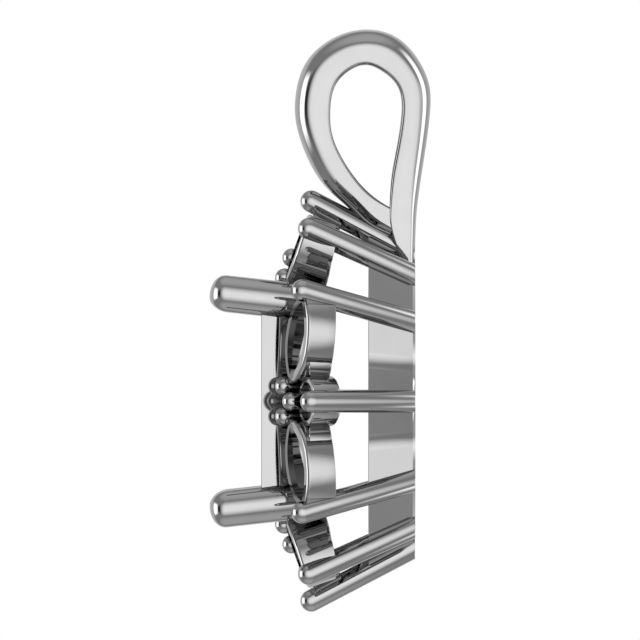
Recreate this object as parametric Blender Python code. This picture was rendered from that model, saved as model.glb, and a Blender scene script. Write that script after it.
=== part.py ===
"""Pendant setting: a cast halo mounting without its stones, hung from a teardrop bail.

Frame: metres, +Z up, the front of the pendant faces -Y, and the origin is the point of the bail
that rests on a chain. The mounting is laid out in plan (across, up) with depth counted forward from
its flat back, and one empty turns and places that plan frame in the world.
"""
import math

import bmesh
import bpy
from mathutils import Matrix, Vector

MM = 0.001

# Driving dimensions of the whole
HANG_DROP = 11.2 * MM          # from the hang point down to the axis of the mounting
BACK_FROM_HANG = 1.65 * MM     # from the hang point back to the flat back of the mounting

# Outer prongs: round wires on one cone that opens to the front
PRONG_RADIUS = 0.369 * MM
PRONG_BACK_CIRCLE = 4.853 * MM  # radius of the circle of their centre lines at the flat back
PRONG_LEAN = math.radians(27.55)
PRONG_SIDES = 16
CARDINAL_TIP_DEPTH = 3.457 * MM
SIDE_PRONG_ANGLE = math.radians(32.7)   # the pair beside each side prong
SIDE_PRONG_DEPTH = 3.75 * MM
END_PRONG_ANGLE = math.radians(58.9)    # the pair beside the top and the bottom prong
END_PRONG_DEPTH = 3.533 * MM

# Back gallery: a rail of flat faces with a point behind each of the four middle prongs
RAIL_DEPTH = 1.55 * MM
RAIL_WALL = 0.45 * MM
POINT_HALF_BACK = 1.217 * MM   # half width of a point's root at the back of the rail
POINT_HALF_FRONT = 1.333 * MM
POINT_FILLET = 1.0 * MM
POINT_FILLET_STEPS = 4

# Centre head: a square ring that narrows to the back, with a round prong in each corner
HEAD_FRONT_DEPTH = 5.117 * MM
HEAD_BACK_DEPTH = 2.85 * MM
HEAD_FRONT_HALF = 3.667 * MM
HEAD_TAPER = 0.195             # half width lost for each unit of depth
HEAD_WALL = 0.42 * MM
HEAD_CORNER_CUT = 0.55 * MM
MAIN_PRONG_RADIUS = 0.617 * MM
MAIN_PRONG_DOME = 0.58 * MM
MAIN_PRONG_TIP_DEPTH = 6.833 * MM
MAIN_PRONG_OFFSET = 3.57 * MM  # across and up, at the start of its dome
MAIN_PRONG_SLOPE = 0.146       # in each of across and up
MAIN_PRONG_BACK_DEPTH = 2.95 * MM
MAIN_PRONG_SIDES = 20

# Pointed oval seats, two on each side of the head, on a plane that falls away outwards
SEAT_OUT = 5.1 * MM
SEAT_ALONG = 2.083 * MM
SEAT_DEPTH = 3.967 * MM
SEAT_FALL_OUT = 0.335          # fall of the seat plane for each unit outwards
SEAT_FALL_ALONG = 0.045
SEAT_TURN = math.radians(13.9)
SEAT_HALF_LENGTH = 1.65 * MM
SEAT_HALF_WIDTH = 1.1 * MM
SEAT_BORE_HALF_LENGTH = 1.35 * MM
SEAT_BORE_HALF_WIDTH = 0.77 * MM
SEAT_ARC_STEPS = 9

# The back of all the seats lies on one shallow cone
CONE_BACK_DEPTH = 2.98 * MM
CONE_BACK_RADIUS = 4.6 * MM
CONE_BACK_FALL = 0.19

# Round seat in the middle of each side, with a round lobe at each side of it
ROUND_SEAT_OUT = 5.5 * MM      # at its front
ROUND_SEAT_DEPTH = 3.62 * MM
ROUND_SEAT_BACK_DEPTH = 2.76 * MM
ROUND_SEAT_BACK_FALL = 0.38    # fall of its back for each unit outwards
ROUND_SEAT_RADIUS = 0.82 * MM
ROUND_SEAT_BORE = 0.64 * MM
ROUND_SEAT_SIDES = 20
LOBE_OUT = 5.27 * MM           # at its front
LOBE_ALONG = 1.35 * MM
LOBE_RADIUS = 0.6 * MM
LOBE_FRONT_DEPTH = 3.53 * MM
LOBE_SIDES = 24

# Three beads inside each round seat, on short pins, and the bar that carries them
BEAD_RADIUS = 0.312 * MM
BEAD_PIN_LENGTH = 1.15 * MM
BEAD_SIDES = 14
BEAD_LEAN = 0.335
BRIDGE_FROM = 3.0 * MM
BRIDGE_TO = 4.65 * MM
BRIDGE_HALF_WIDTH = 0.5 * MM
BRIDGE_BACK = 2.95 * MM
BRIDGE_FRONT = 3.5 * MM

# Each row is a bead: how far out, how far along the side, and the depth of its centre
BEADS = (
    {"out": 4.11 * MM, "along": -0.5 * MM, "depth": 4.357 * MM},
    {"out": 4.11 * MM, "along": 0.5 * MM, "depth": 4.357 * MM},
    {"out": 4.777 * MM, "along": 0.0, "depth": 4.113 * MM},
)

# Bail: a strap with flat sides and a domed outer face. Each row is a section across it, from its
# root up the back, over the top and down the front: the inner and the outer edge as (back, up)
# from the hang point, the half width of the strap and the rise of its dome, all in millimetres.
BAIL_SECTIONS = (
    {"inner": (1.37, -7.15), "outer": (1.63, -7.15), "half": 0.50, "dome": 0.10},
    {"inner": (1.28, -6.53), "outer": (1.63, -6.53), "half": 0.54, "dome": 0.16},
    {"inner": (0.93, -5.58), "outer": (1.64, -5.58), "half": 0.58, "dome": 0.19},
    {"inner": (0.79, -4.80), "outer": (1.68, -4.77), "half": 0.62, "dome": 0.24},
    {"inner": (0.82, -3.77), "outer": (1.83, -3.72), "half": 0.66, "dome": 0.38},
    {"inner": (0.98, -2.77), "outer": (1.98, -2.68), "half": 0.71, "dome": 0.45},
    {"inner": (1.14, -1.57), "outer": (2.13, -1.50), "half": 0.77, "dome": 0.53},
    {"inner": (1.05, -0.70), "outer": (2.01, -0.35), "half": 0.86, "dome": 0.57},
    {"inner": (0.53, -0.19), "outer": (1.19, 0.83), "half": 0.95, "dome": 0.60},
    {"inner": (0.00, 0.00), "outer": (-0.02, 1.20), "half": 1.00, "dome": 0.60},
    {"inner": (-0.54, -0.19), "outer": (-1.17, 0.87), "half": 0.97, "dome": 0.60},
    {"inner": (-1.01, -0.70), "outer": (-2.08, -0.02), "half": 0.92, "dome": 0.59},
    {"inner": (-1.15, -1.47), "outer": (-2.38, -1.30), "half": 0.87, "dome": 0.58},
    {"inner": (-1.10, -2.27), "outer": (-2.25, -2.32), "half": 0.83, "dome": 0.58},
    {"inner": (-0.85, -2.97), "outer": (-1.89, -3.25), "half": 0.78, "dome": 0.56},
    {"inner": (-0.45, -3.62), "outer": (-1.35, -4.08), "half": 0.72, "dome": 0.51},
    {"inner": (0.02, -4.17), "outer": (-0.55, -4.78), "half": 0.66, "dome": 0.46},
    {"inner": (0.52, -4.57), "outer": (0.10, -5.35), "half": 0.60, "dome": 0.40},
    {"inner": (1.02, -4.86), "outer": (0.82, -5.70), "half": 0.55, "dome": 0.30},
)
BAIL_STEPS = 3                 # sections made between two rows of the table
BAIL_CHAMFER = 0.14 * MM
BAIL_DOME_STEPS = 8

QUADRANTS = ((1, 1), (-1, 1), (-1, -1), (1, -1))
SIDE_TURNS = tuple(math.radians(90 * k) for k in range(4))


# The scene, its collections and small helpers

def clear_scene():
    """Removes what the file holds."""
    for item in list(bpy.data.objects):
        bpy.data.objects.remove(item, do_unlink=True)


def make_collection(name, parent):
    """Returns a new collection under parent."""
    group = bpy.data.collections.new(name)
    parent.children.link(group)
    return group


def make_metal(name):
    """Returns the polished white metal of a piece."""
    metal = bpy.data.materials.new(name)
    metal.use_nodes = True
    shader = metal.node_tree.nodes["Principled BSDF"]
    shader.inputs["Base Color"].default_value = (0.78, 0.78, 0.79, 1.0)
    shader.inputs["Metallic"].default_value = 1.0
    shader.inputs["Roughness"].default_value = 0.08
    return metal


def mesh_object(name, shape, group, parent=None):
    """Makes an object of a bmesh, with its faces pointing out and smooth below 35 degrees."""
    bmesh.ops.recalc_face_normals(shape, faces=shape.faces)
    mesh = bpy.data.meshes.new(name)
    shape.to_mesh(mesh)
    shape.free()
    mesh.shade_smooth()
    mesh.set_sharp_from_angle(angle=math.radians(35))
    mesh.materials.append(make_metal(name + "_metal"))
    item = bpy.data.objects.new(name, mesh)
    group.objects.link(item)
    item.parent = parent
    return item


def hide_as_tool(group):
    """Marks all in a collection as guides that the finished part leaves out."""
    for item in group.objects:
        item.hide_render = True
        item.display_type = "WIRE"


def combine(item, operation, group, solver="EXACT"):
    """Adds a Boolean of item with everything in a collection."""
    cut = item.modifiers.new(group.name, "BOOLEAN")
    cut.operation = operation
    cut.solver = solver
    cut.operand_type = "COLLECTION"
    cut.collection = group


def loft(sections, closed_path=False):
    """Returns a closed bmesh skin through sections with as many points each."""
    shape = bmesh.new()
    rings = [[shape.verts.new(point) for point in section] for section in sections]
    count = len(rings[0])
    for low, high in zip(rings, rings[1:]):
        for i in range(count):
            j = (i + 1) % count
            shape.faces.new((low[i], low[j], high[j], high[i]))
    shape.faces.new(reversed(rings[0]))
    shape.faces.new(rings[-1])
    return shape


def turned(profile, sides):
    """Returns a bmesh turned about Z from (radius, height) points that start and end on the axis."""
    shape = bmesh.new()
    edge = [shape.verts.new((radius, 0.0, height)) for radius, height in profile]
    links = [shape.edges.new(pair) for pair in zip(edge, edge[1:])]
    bmesh.ops.spin(shape, geom=edge + links, cent=(0, 0, 0), axis=(0, 0, 1),
                   angle=math.tau, steps=sides, use_merge=True)
    bmesh.ops.remove_doubles(shape, verts=shape.verts, dist=1e-7)
    return shape


def round_top(radius, rise, height, rings):
    """Returns profile points of a dome that ends at height, from the axis out to its rim."""
    angles = [math.pi / 2 * k / rings for k in range(rings + 1)]
    return [(radius * math.sin(a), height - rise + rise * math.cos(a)) for a in angles]


def aim(item, start, direction):
    """Places an object made along Z so that it starts at a point and runs along a direction."""
    turn = Vector(direction).to_track_quat("Z", "Y").to_matrix().to_4x4()
    item.matrix_local = Matrix.Translation(start) @ turn


def on_side(out, along, depth, turn):
    """Returns the plan point at a distance out and along the side that a turn names."""
    flat = Matrix.Rotation(turn, 3, "Z") @ Vector((out, along, 0.0))
    return Vector((flat.x, flat.y, depth))


# Outer prongs

def prong_table():
    """Returns (azimuth, depth of the tip's centre) for each of the outer prongs."""
    rows = [(turn, CARDINAL_TIP_DEPTH) for turn in SIDE_TURNS]
    for angle, depth in ((SIDE_PRONG_ANGLE, SIDE_PRONG_DEPTH), (END_PRONG_ANGLE, END_PRONG_DEPTH)):
        rows += [(math.atan2(math.sin(angle) * up, math.cos(angle) * across), depth)
                 for across, up in QUADRANTS]
    return rows


def prong_radius_at(depth):
    """Returns the radius of the prongs' circle at a depth."""
    return PRONG_BACK_CIRCLE + depth * math.tan(PRONG_LEAN)


def outer_prongs(group, parent):
    """Makes the outer prongs, which start a little behind the flat back and are cut there."""
    behind = 0.3 * MM
    for number, (azimuth, depth) in enumerate(prong_table(), 1):
        lean = Vector((math.sin(PRONG_LEAN) * math.cos(azimuth),
                       math.sin(PRONG_LEAN) * math.sin(azimuth), math.cos(PRONG_LEAN)))
        start_radius = prong_radius_at(-behind)
        start = Vector((start_radius * math.cos(azimuth), start_radius * math.sin(azimuth), -behind))
        length = (depth + behind) / math.cos(PRONG_LEAN) + PRONG_RADIUS
        profile = round_top(PRONG_RADIUS, PRONG_RADIUS, length, 4) + [(PRONG_RADIUS, 0), (0, 0)]
        wire = mesh_object(f"outer_prong_{number:02d}", turned(profile, PRONG_SIDES), group, parent)
        aim(wire, start, lean)


# Back gallery

def corner_fillet(before, corner, after, radius, steps):
    """Returns points of an arc that rounds a corner of a plan outline."""
    to_before = (before - corner).normalized()
    to_after = (after - corner).normalized()
    bisector = (to_before + to_after).normalized()
    half = math.acos(to_before.dot(to_after)) / 2
    middle = corner + bisector * (radius / math.sin(half))
    sweep = math.pi / 2 - half
    across = to_before - bisector * to_before.dot(bisector)
    across.normalize()
    angles = [sweep * (1 - 2 * k / steps) for k in range(steps + 1)]
    return [middle + (across * math.sin(a) - bisector * math.cos(a)) * radius for a in angles]


def rail_outline(depth):
    """Returns the outer plan outline of the rail at a depth."""
    radius = prong_radius_at(depth)
    share = depth / RAIL_DEPTH
    point_half = POINT_HALF_BACK + (POINT_HALF_FRONT - POINT_HALF_BACK) * share
    flat_out = radius * math.cos(SIDE_PRONG_ANGLE)
    flat_up = radius * math.sin(END_PRONG_ANGLE)
    side_corner = Vector((flat_out, radius * math.sin(SIDE_PRONG_ANGLE)))
    end_corner = Vector((radius * math.cos(END_PRONG_ANGLE), flat_up))
    tip_out, tip_up = Vector((radius, 0.0)), Vector((0.0, radius))
    quarter = corner_fillet(tip_out, Vector((flat_out, point_half)), side_corner,
                            POINT_FILLET, POINT_FILLET_STEPS)
    quarter += [side_corner, end_corner]
    quarter += corner_fillet(end_corner, Vector((point_half, flat_up)), tip_up,
                             POINT_FILLET, POINT_FILLET_STEPS)
    outline = []
    for number, (across, up) in enumerate(QUADRANTS):
        part = [Vector((p.x * across, p.y * up)) for p in quarter]
        tip = (tip_out, tip_up, -tip_out, -tip_up)[number]
        outline += [tip] + (part if number % 2 == 0 else part[::-1])
    return outline


def rail_bore_outline(depth):
    """Returns the inner plan outline of the rail: the outer one, moved in by the wall."""
    outline = rail_outline(depth)
    count = len(outline)
    moved = []
    for i, point in enumerate(outline):
        along = (point - outline[i - 1]).normalized()
        onward = (outline[(i + 1) % count] - point).normalized()
        side = Vector((-along.y, along.x))
        inward = (side + Vector((-onward.y, onward.x))).normalized()
        moved.append(point + inward * (RAIL_WALL / inward.dot(side)))
    return moved


def back_gallery(group, tools, parent):
    """Makes the rail as a solid loft, and the loft that hollows it."""
    over = 0.1 * MM
    depths = (-over, RAIL_DEPTH)
    outer = [[(p.x, p.y, depth) for p in rail_outline(depth)] for depth in depths]
    rail = mesh_object("pendant_setting", loft(outer), group, parent)
    depths = (-3 * over, RAIL_DEPTH + 2 * over)
    inner = [[(p.x, p.y, depth) for p in rail_bore_outline(depth)] for depth in depths]
    mesh_object("rail_bore", loft(inner), tools, parent)
    return rail


# Seats

def cone_back_depth(radius):
    """Returns the depth of the seats' common back at a distance from the axis."""
    return CONE_BACK_DEPTH - CONE_BACK_FALL * (radius - CONE_BACK_RADIUS)


def lens(half_length, half_width, steps):
    """Returns a pointed oval of two arcs, as (along, out) points about its middle."""
    arc = (half_length ** 2 + half_width ** 2) / (2 * half_width)
    sweep = math.asin(half_length / arc)
    points = []
    for side in (1, -1):
        for k in range(steps):
            angle = -sweep + 2 * sweep * k / steps
            points.append((side * arc * math.sin(angle), side * (arc * math.cos(angle) - arc + half_width)))
    return points


def slide_back(out, along, front, extra, fall_out, fall_along):
    """Returns where a wall line that leans out to the front meets the seats' common back."""
    reach = front - cone_back_depth(math.hypot(out, along))
    for _ in range(4):
        radius = math.hypot(out - fall_out * reach, along - fall_along * reach)
        reach = front - cone_back_depth(radius) + extra
    return Vector((out - fall_out * reach, along - fall_along * reach, front - reach))


def oval_seat(half_length, half_width, extra):
    """Returns the two sections of a pointed oval on one side: at the seat's plane and its back."""
    front_section, back_section = [], []
    for s, n in lens(half_length, half_width, SEAT_ARC_STEPS):
        out = SEAT_OUT + s * math.sin(SEAT_TURN) + n * math.cos(SEAT_TURN)
        along = SEAT_ALONG + s * math.cos(SEAT_TURN) - n * math.sin(SEAT_TURN)
        depth = SEAT_DEPTH - SEAT_FALL_OUT * (out - SEAT_OUT) - SEAT_FALL_ALONG * (along - SEAT_ALONG)
        front_section.append(Vector((out + SEAT_FALL_OUT * extra, along + SEAT_FALL_ALONG * extra,
                                     depth + extra)))
        back_section.append(slide_back(out, along, depth, extra, SEAT_FALL_OUT, SEAT_FALL_ALONG))
    return front_section, back_section


def spread_on_sides(name, sections, group, parent):
    """Makes a mirrored pair of a loft on each of the four sides."""
    for number, turn in enumerate(SIDE_TURNS, 1):
        for hand, sign in (("a", 1), ("b", -1)):
            placed = [[on_side(p.x, p.y * sign, p.z, turn) for p in section] for section in sections]
            mesh_object(f"{name}_{number}{hand}", loft(placed), group, parent)


def oval_seats(solids, bores, parent):
    """Makes the pointed oval seats and their bores."""
    spread_on_sides("oval_seat", oval_seat(SEAT_HALF_LENGTH, SEAT_HALF_WIDTH, 0.0), solids, parent)
    spread_on_sides("oval_bore", oval_seat(SEAT_BORE_HALF_LENGTH, SEAT_BORE_HALF_WIDTH, 0.6 * MM),
                    bores, parent)


def round_seat(radius, over):
    """Returns the two rings of a round seat, which leans like the prongs and reaches over its ends."""
    lean = math.tan(PRONG_LEAN)
    reach = ROUND_SEAT_DEPTH - ROUND_SEAT_BACK_DEPTH
    front, back = [], []
    for k in range(ROUND_SEAT_SIDES):
        out = radius * math.cos(math.tau * k / ROUND_SEAT_SIDES)
        along = radius * math.sin(math.tau * k / ROUND_SEAT_SIDES)
        front.append(Vector((ROUND_SEAT_OUT + out + lean * over, along,
                             ROUND_SEAT_DEPTH - SEAT_FALL_OUT * out + over)))
        back.append(Vector((ROUND_SEAT_OUT + out - lean * (reach + over), along,
                            ROUND_SEAT_BACK_DEPTH - ROUND_SEAT_BACK_FALL * out - over)))
    return front, back


def round_seats(solids, bores, parent):
    """Makes the round seats, their bores and the lobes beside them."""
    circle = [math.tau * k / LOBE_SIDES for k in range(LOBE_SIDES)]
    lobe = [(LOBE_OUT + LOBE_RADIUS * math.cos(a), LOBE_ALONG + LOBE_RADIUS * math.sin(a)) for a in circle]
    front = [Vector((out, along, LOBE_FRONT_DEPTH)) for out, along in lobe]
    back = [slide_back(out, along, LOBE_FRONT_DEPTH, 0.0, SEAT_FALL_OUT, 0.0) for out, along in lobe]
    spread_on_sides("seat_lobe", (front, back), solids, parent)
    for name, radius, over, group in (("round_seat", ROUND_SEAT_RADIUS, 0.0, solids),
                                      ("round_bore", ROUND_SEAT_BORE, 0.6 * MM, bores)):
        rings = round_seat(radius, over)
        for number, turn in enumerate(SIDE_TURNS, 1):
            placed = [[on_side(p.x, p.y, p.z, turn) for p in ring] for ring in rings]
            mesh_object(f"{name}_{number}", loft(placed), group, parent)


# Centre head

def square_plan(half, cut):
    """Returns a square plan outline with cut corners."""
    points = []
    for number, (across, up) in enumerate(QUADRANTS):
        pair = [(half * across, (half - cut) * up), ((half - cut) * across, half * up)]
        points += pair if number % 2 == 0 else pair[::-1]
    return points


def head_half_at(depth):
    """Returns the half width of the head at a depth."""
    return HEAD_FRONT_HALF - HEAD_TAPER * (HEAD_FRONT_DEPTH - depth)


def centre_head(group, bores, parent):
    """Makes the head as a solid loft, and the loft that hollows it."""
    over = 0.2 * MM
    outer = [[(x, y, depth) for x, y in square_plan(head_half_at(depth), HEAD_CORNER_CUT)]
             for depth in (HEAD_BACK_DEPTH, HEAD_FRONT_DEPTH)]
    head = mesh_object("centre_head", loft(outer), group, parent)
    inner_cut = HEAD_CORNER_CUT * 0.8
    inner = [[(x, y, depth) for x, y in square_plan(head_half_at(depth) - HEAD_WALL, inner_cut)]
             for depth in (HEAD_BACK_DEPTH - 4 * over, HEAD_FRONT_DEPTH + over)]
    mesh_object("head_bore", loft(inner), bores, parent)
    return head


def bridges(group, parent):
    """Makes the plain bar that joins the head to the seats on each side."""
    for number, turn in enumerate(SIDE_TURNS, 1):
        shape = bmesh.new()
        size = Vector((BRIDGE_TO - BRIDGE_FROM, 2 * BRIDGE_HALF_WIDTH, BRIDGE_FRONT - BRIDGE_BACK))
        bmesh.ops.create_cube(shape, size=1.0, matrix=Matrix.Diagonal(size).to_4x4())
        bar = mesh_object(f"bridge_{number}", shape, group, parent)
        middle = on_side((BRIDGE_FROM + BRIDGE_TO) / 2, 0.0, (BRIDGE_BACK + BRIDGE_FRONT) / 2, turn)
        bar.matrix_local = Matrix.Translation(middle) @ Matrix.Rotation(turn, 4, "Z")


def main_prongs(group, parent):
    """Makes the four large prongs of the centre stone."""
    for number, (across, up) in enumerate(QUADRANTS, 1):
        lean = Vector((MAIN_PRONG_SLOPE * across, MAIN_PRONG_SLOPE * up, 1.0))
        drop = MAIN_PRONG_TIP_DEPTH - MAIN_PRONG_DOME - MAIN_PRONG_BACK_DEPTH
        offset = MAIN_PRONG_OFFSET - MAIN_PRONG_SLOPE * drop
        start = Vector((offset * across, offset * up, MAIN_PRONG_BACK_DEPTH))
        length = drop * lean.length + MAIN_PRONG_DOME
        profile = round_top(MAIN_PRONG_RADIUS, MAIN_PRONG_DOME, length, 5)
        profile += [(MAIN_PRONG_RADIUS, 0), (0, 0)]
        post = mesh_object(f"main_prong_{number}", turned(profile, MAIN_PRONG_SIDES), group, parent)
        aim(post, start, lean)


def beads(group, parent):
    """Makes the three beads of each side, each with its pin."""
    for side, turn in enumerate(SIDE_TURNS, 1):
        for number, row in enumerate(BEADS, 1):
            lean = on_side(BEAD_LEAN, 0.0, 1.0, turn).normalized()
            centre = on_side(row["out"], row["along"], row["depth"], turn)
            length = BEAD_PIN_LENGTH + BEAD_RADIUS
            profile = round_top(BEAD_RADIUS, BEAD_RADIUS, length, 4) + [(BEAD_RADIUS, 0), (0, 0)]
            pin = mesh_object(f"bead_{side}_{number}", turned(profile, BEAD_SIDES), group, parent)
            aim(pin, centre - lean * BEAD_PIN_LENGTH, lean)


# Bail

def between(rows, key, share, i):
    """Returns a value between rows i and i + 1 on a smooth curve through all rows."""
    last = len(rows) - 1
    values = [rows[min(max(k, 0), last)][key] for k in (i - 1, i, i + 1, i + 2)]
    if not isinstance(values[0], tuple):
        values = [(value,) for value in values]
    before, first, second, after = (Vector(value + (0.0, 0.0)[:3 - len(value)]) for value in values)
    slope_one, slope_two = (second - before) / 2, (after - first) / 2
    gap = second - first
    point = (first + slope_one * share + (3 * gap - 2 * slope_one - slope_two) * share ** 2
             + (slope_one + slope_two - 2 * gap) * share ** 3)
    return point * MM


def bail_section(inner, outer, half, dome):
    """Returns the points of one section: flat inside, chamfered edges, flat sides, domed outside."""
    rise = (outer - inner).normalized()
    side_height = (outer - inner).length - dome
    outline = [(-half + BAIL_CHAMFER, 0.0), (-half, BAIL_CHAMFER)]
    for k in range(BAIL_DOME_STEPS + 1):
        angle = math.pi * k / BAIL_DOME_STEPS
        outline.append((-half * math.cos(angle), side_height + dome * math.sin(angle)))
    outline += [(half, BAIL_CHAMFER), (half - BAIL_CHAMFER, 0.0)]
    return [Vector((x, inner.x + rise.x * h, inner.y + rise.y * h)) for x, h in outline]


def bail(group):
    """Makes the bail as a loft along its strap."""
    sections = []
    for i in range(len(BAIL_SECTIONS) - 1):
        steps = BAIL_STEPS + (1 if i == len(BAIL_SECTIONS) - 2 else 0)
        for k in range(steps):
            values = [between(BAIL_SECTIONS, key, k / BAIL_STEPS, i)
                      for key in ("inner", "outer", "half", "dome")]
            inner, outer, half, dome = values[0].xy, values[1].xy, values[2].x, values[3].x
            sections.append(bail_section(inner, outer, half, dome))
    return mesh_object("bail", loft(sections), group)


# The whole

def build():
    """Builds the pendant setting as one soldered solid."""
    clear_scene()
    root = bpy.context.scene.collection
    part = make_collection("pendant_setting", root)
    soldered = make_collection("soldered_pieces", root)
    seat_solids = make_collection("seat_solids", root)
    seat_bores = make_collection("seat_bores", root)
    rail_tools = make_collection("rail_tools", root)
    back_tools = make_collection("back_tools", root)
    bail_group = make_collection("bail_strap", root)

    frame = bpy.data.objects.new("mounting_frame", None)
    part.objects.link(frame)
    frame.location = (0.0, BACK_FROM_HANG, -HANG_DROP)
    frame.rotation_euler = (math.pi / 2, 0.0, 0.0)

    head = centre_head(soldered, seat_bores, frame)
    oval_seats(seat_solids, seat_bores, frame)
    round_seats(seat_solids, seat_bores, frame)
    bridges(seat_solids, frame)
    combine(head, "UNION", seat_solids)
    combine(head, "DIFFERENCE", seat_bores)

    outer_prongs(soldered, frame)
    main_prongs(soldered, frame)
    beads(soldered, frame)

    shape = bmesh.new()
    size = Vector((16 * MM, 16 * MM, 2 * MM))
    bmesh.ops.create_cube(shape, size=1.0, matrix=Matrix.Diagonal(size).to_4x4())
    back_block = mesh_object("back_block", shape, back_tools, frame)
    back_block.location = (0.0, 0.0, -1 * MM)

    setting = back_gallery(part, rail_tools, frame)
    bail(bail_group)
    combine(setting, "DIFFERENCE", rail_tools)
    combine(setting, "UNION", soldered, "MANIFOLD")
    combine(setting, "DIFFERENCE", back_tools, "MANIFOLD")
    combine(setting, "UNION", bail_group, "MANIFOLD")
    for tools in (soldered, seat_solids, seat_bores, rail_tools, back_tools, bail_group):
        hide_as_tool(tools)


build()
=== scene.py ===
"""Pendant setting: polished white-metal cluster mounting without stones, in its studio.

Every piece is modelled in the frame of the CAD part: metres, +Z up, the front facing -Y, and the
origin at the point of the bail that rests on a chain. The mounting itself is laid out in plan, with
x across, y up and z as the depth forward from its flat back, and is then stood up by one matrix.
"""
from __future__ import annotations

import logging
import math
from dataclasses import dataclass
from enum import Enum

import bmesh
import bpy
import numpy as np
from mathutils import Matrix, Vector

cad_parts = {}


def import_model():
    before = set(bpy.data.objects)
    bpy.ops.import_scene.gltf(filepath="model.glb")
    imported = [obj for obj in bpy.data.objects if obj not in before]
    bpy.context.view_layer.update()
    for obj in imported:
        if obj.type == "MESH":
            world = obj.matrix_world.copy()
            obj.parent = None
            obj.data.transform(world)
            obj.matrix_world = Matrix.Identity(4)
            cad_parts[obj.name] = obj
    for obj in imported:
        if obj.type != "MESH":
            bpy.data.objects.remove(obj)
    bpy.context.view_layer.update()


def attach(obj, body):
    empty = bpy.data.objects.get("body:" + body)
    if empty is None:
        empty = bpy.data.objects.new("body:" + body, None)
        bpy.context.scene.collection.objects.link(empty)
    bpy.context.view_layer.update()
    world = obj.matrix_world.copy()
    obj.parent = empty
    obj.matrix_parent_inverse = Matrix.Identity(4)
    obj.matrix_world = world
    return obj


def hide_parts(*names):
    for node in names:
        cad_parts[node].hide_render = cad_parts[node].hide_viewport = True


LOG = logging.getLogger("pendant_setting")
MM = 0.001
NODE = "pendant_setting"
BODY = "root"

Piece = bpy.types.Object

SAME_POINT = 1e-7    # points closer than this are merged
BELOW_RIM = 1e-6     # points lower than this lie under a dome's rim

# Degrees between faces. Bevels take the edges of flat cuts and of rims above the first two, and
# the edges of faceted pieces and of the strap stay crisp above the others.
CUT_EDGES, RIM_EDGES = 50.0, 60.0
FACET_EDGES, STRAP_EDGES = 25.0, 30.0

HANG_DROP = 11.2 * MM
BACK_FROM_HANG = 1.65 * MM
WIRE_LEAN = math.radians(27.55)
PLAN_TO_WORLD = (Matrix.Translation((0.0, BACK_FROM_HANG, -HANG_DROP))
                 @ Matrix.Rotation(math.pi / 2, 4, "X"))

QUADRANTS = ((1, 1), (-1, 1), (-1, -1), (1, -1))
SIDE_TURNS = tuple(math.radians(90 * k) for k in range(4))


class Bevel(Enum):
    """The small roundings that polishing leaves on edges, as width and number of faces across."""

    CRISP = (0.018 * MM, 2)
    SOFT = (0.035 * MM, 3)
    ROUND = (0.07 * MM, 4)
    STAGE = (0.07 * MM, 2)


# Modelling bench

def clear_selection() -> None:
    """Leaves edit mode and deselects everything."""
    if bpy.context.object and bpy.context.object.mode != "OBJECT":
        bpy.ops.object.mode_set(mode="OBJECT")
    bpy.ops.object.select_all(action="DESELECT")


def activate(item: Piece) -> None:
    """Selects one object alone and makes it active.

    Args:
        item: The object.
    """
    clear_selection()
    item.select_set(True)
    bpy.context.view_layer.objects.active = item


def point_outwards(item: Piece) -> None:
    """Merges doubled points and turns all faces outwards.

    Args:
        item: The piece.
    """
    activate(item)
    bpy.ops.object.mode_set(mode="EDIT")
    bpy.ops.mesh.select_all(action="SELECT")
    bpy.ops.mesh.remove_doubles(threshold=SAME_POINT)
    bpy.ops.mesh.normals_make_consistent(inside=False)
    bpy.ops.object.mode_set(mode="OBJECT")


def loft(name: str, rings: list[list[Vector]]) -> Piece:
    """Extrudes a face through a row of outlines with as many points each.

    Args:
        name: Name of the new object.
        rings: Outlines from the first cap to the last.

    Returns:
        A closed solid.
    """
    clear_selection()
    bpy.ops.mesh.primitive_circle_add(vertices=len(rings[0]), radius=MM, fill_type="NGON")
    item = bpy.context.object
    item.name = name
    bpy.ops.object.mode_set(mode="EDIT")
    for number, ring in enumerate(rings):
        if number:
            bpy.ops.mesh.extrude_region_move(TRANSFORM_OT_translate={"value": (0.0, 0.0, MM)})
        shape = bmesh.from_edit_mesh(item.data)
        face = next(f for f in shape.faces if f.select)
        for vert, point in zip(face.verts, ring):
            vert.co = point
        bmesh.update_edit_mesh(item.data)
    point_outwards(item)
    return item


def wall_loop(name: str, loops: list[list[Vector]]) -> Piece:
    """Extrudes an edge loop round a closed wall section and bridges its ends.

    Args:
        name: Name of the new object.
        loops: The loops in order round the section of the wall.

    Returns:
        A closed ring-shaped solid.
    """
    clear_selection()
    bpy.ops.mesh.primitive_circle_add(vertices=len(loops[0]), radius=MM, fill_type="NOTHING")
    item = bpy.context.object
    item.name = name
    bpy.ops.object.mode_set(mode="EDIT")
    shape = bmesh.from_edit_mesh(item.data)
    shape.verts.ensure_lookup_table()
    order = list(range(len(loops[0])))
    for index, point in zip(order, loops[0]):
        shape.verts[index].co = point
    for loop in loops[1:]:
        bpy.ops.mesh.extrude_edges_move(TRANSFORM_OT_translate={"value": (0.0, 0.0, MM)})
        shape = bmesh.from_edit_mesh(item.data)
        shape.verts.index_update()
        shape.verts.ensure_lookup_table()
        following = []
        for index in order:
            vert = shape.verts[index]
            following.append(next(e.other_vert(vert).index for e in vert.link_edges
                                  if e.other_vert(vert).select))
        order = following
        for index, point in zip(order, loop):
            shape.verts[index].co = point
        bmesh.update_edit_mesh(item.data)
    for vert in shape.verts:
        vert.select = vert.index < len(loops[0]) or vert.index in order
    for edge in shape.edges:
        edge.select = all(v.select for v in edge.verts) and len(edge.link_faces) == 1
    shape.select_flush_mode()
    bmesh.update_edit_mesh(item.data)
    bpy.ops.mesh.bridge_edge_loops()
    point_outwards(item)
    return item


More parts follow.
